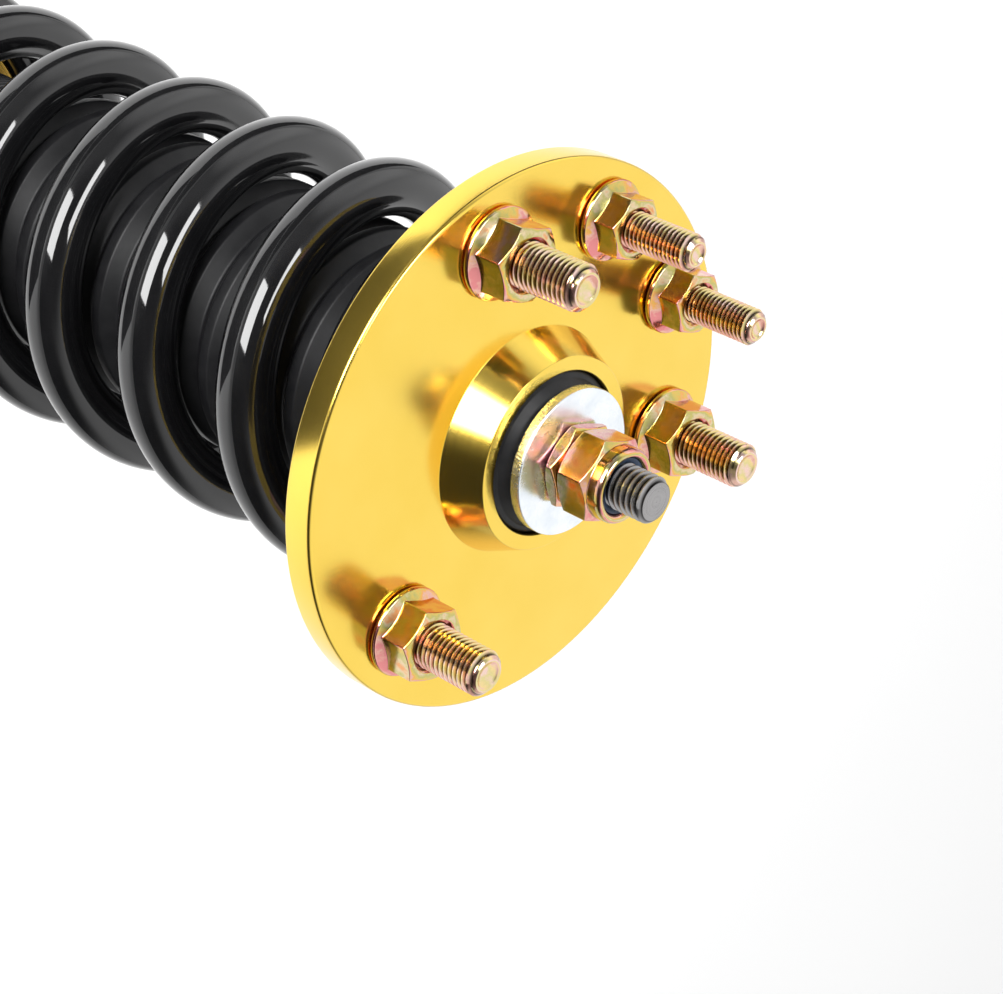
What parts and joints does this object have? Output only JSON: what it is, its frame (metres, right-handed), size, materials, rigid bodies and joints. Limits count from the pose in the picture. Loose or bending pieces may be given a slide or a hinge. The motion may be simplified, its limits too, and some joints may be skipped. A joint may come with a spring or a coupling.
{
  "type": "coilover strut",
  "caption": "Height-adjustable coilover: threaded damper with coil spring, screw perch, gold top plate with studs and a screw-on lower tube.",
  "frame": {"origin": "centre of the top plate's upper face, on the damper's axis", "axes": "+Z along the damper axis, out of the top plate; +X towards the first large stud"},
  "size_m": [0.12, 0.12, 0.5058],
  "materials": {
    "plate_gold": "gold-anodised, smooth face, turned edge",
    "collar_gold": "gold-anodised, satin",
    "yellow_zinc": "yellow iridescent zinc plating",
    "stud_plating": "coppery zinc plating",
    "bright_zinc": "bright zinc plating",
    "plain_steel": "machined",
    "rod_chrome": "hard chrome",
    "spring_gloss_black": "gloss powder coat",
    "body_satin_black": "satin black",
    "seat_black": "matte",
    "black_rubber": "matte",
    "blue_nylon": "matte",
    "yellow_foam": "matte"
  },
  "bodies": {
    "top_mount": {"top_plate": "plate_gold", "stud_1": "stud_plating", "stud_2": "stud_plating", "stud_3": "stud_plating", "stud_4": "stud_plating", "stud_5": "stud_plating", "flange_nut_1": "yellow_zinc", "flange_nut_2": "yellow_zinc", "flange_nut_3": "yellow_zinc", "flange_nut_4": "yellow_zinc", "flange_nut_5": "yellow_zinc", "mount_bush": "black_rubber", "upper_isolator": "seat_black", "spring": "spring_gloss_black"},
    "rod": {"piston_rod": "rod_chrome", "bush_sleeve": "plain_steel", "centre_washer": "bright_zinc", "lower_washer": "plain_steel", "jam_nut": "yellow_zinc", "lock_nut": "yellow_zinc", "lock_nut_insert": "blue_nylon", "boot_retainer": "body_satin_black", "dust_boot": "black_rubber", "bump_stop": "yellow_foam", "rebound_stop": "yellow_foam", "upper_valve_discs": "plain_steel", "piston": "plain_steel", "piston_band": "seat_black", "lower_valve_discs": "plain_steel", "piston_nut": "plain_steel"},
    "damper": {"threaded_body": "body_satin_black", "pressure_tube": "plain_steel", "gland_cap": "body_satin_black", "rod_wiper": "black_rubber", "oil_seal": "black_rubber", "rod_guide": "plain_steel", "end_plug": "plain_steel", "gas_valve": "yellow_zinc"},
    "gas_piston": {"floating_piston": "plain_steel", "floating_piston_ring": "seat_black"},
    "perch_carrier": {"lower_isolator": "seat_black"},
    "perch": {"perch_collar": "collar_gold"},
    "perch_lock": {"perch_lock_ring": "collar_gold"},
    "lower_tube": {"lower_tube": "body_satin_black"},
    "tube_lock": {"tube_lock_ring": "collar_gold"}
  },
  "joints": [
    {"name": "bush_twist", "type": "hinge", "parent": "top_mount", "child": "rod", "pos_m": [0, 0, -0.002], "axis": [0, 0, 1], "range_deg": [-12, 12], "stiffness_Nm_per_rad": 15},
    {"name": "damper_stroke", "type": "slide", "parent": "rod", "child": "damper", "axis": [0, 0, 1], "range_m": [0, 0.085], "stiffness_N_per_m": 50000, "deforming": ["spring", "dust_boot"]},
    {"name": "gas_piston_travel", "type": "slide", "parent": "damper", "child": "gas_piston", "axis": [0, 0, 1], "range_m": [-0.0084, 0]},
    {"name": "perch_height", "type": "slide", "parent": "damper", "child": "perch_carrier", "axis": [0, 0, 1], "range_m": [-0.02, 0]},
    {"name": "perch_turn", "type": "hinge", "parent": "perch_carrier", "child": "perch", "pos_m": [0, 0, -0.2177], "axis": [0, 0, 1], "range_deg": [-3600, 0]},
    {"name": "perch_lock_turn", "type": "hinge", "parent": "perch", "child": "perch_lock", "pos_m": [0, 0, -0.2237], "axis": [0, 0, 1], "range_deg": [-45, 0]},
    {"name": "tube_length", "type": "slide", "parent": "damper", "child": "lower_tube", "axis": [0, 0, 1], "range_m": [-0.025, 0.025]},
    {"name": "tube_lock_turn", "type": "hinge", "parent": "lower_tube", "child": "tube_lock", "pos_m": [0, 0, -0.278], "axis": [0, 0, 1], "range_deg": [-4500, 4500]}
  ],
  "couplings": [
    {"joint": "gas_piston_travel", "follows": "damper_stroke", "ratio": -0.0977},
    {"joint": "perch_turn", "follows": "perch_height", "rad_per_m": 3141.6},
    {"joint": "tube_lock_turn", "follows": "tube_length", "rad_per_m": 3141.6}
  ]
}
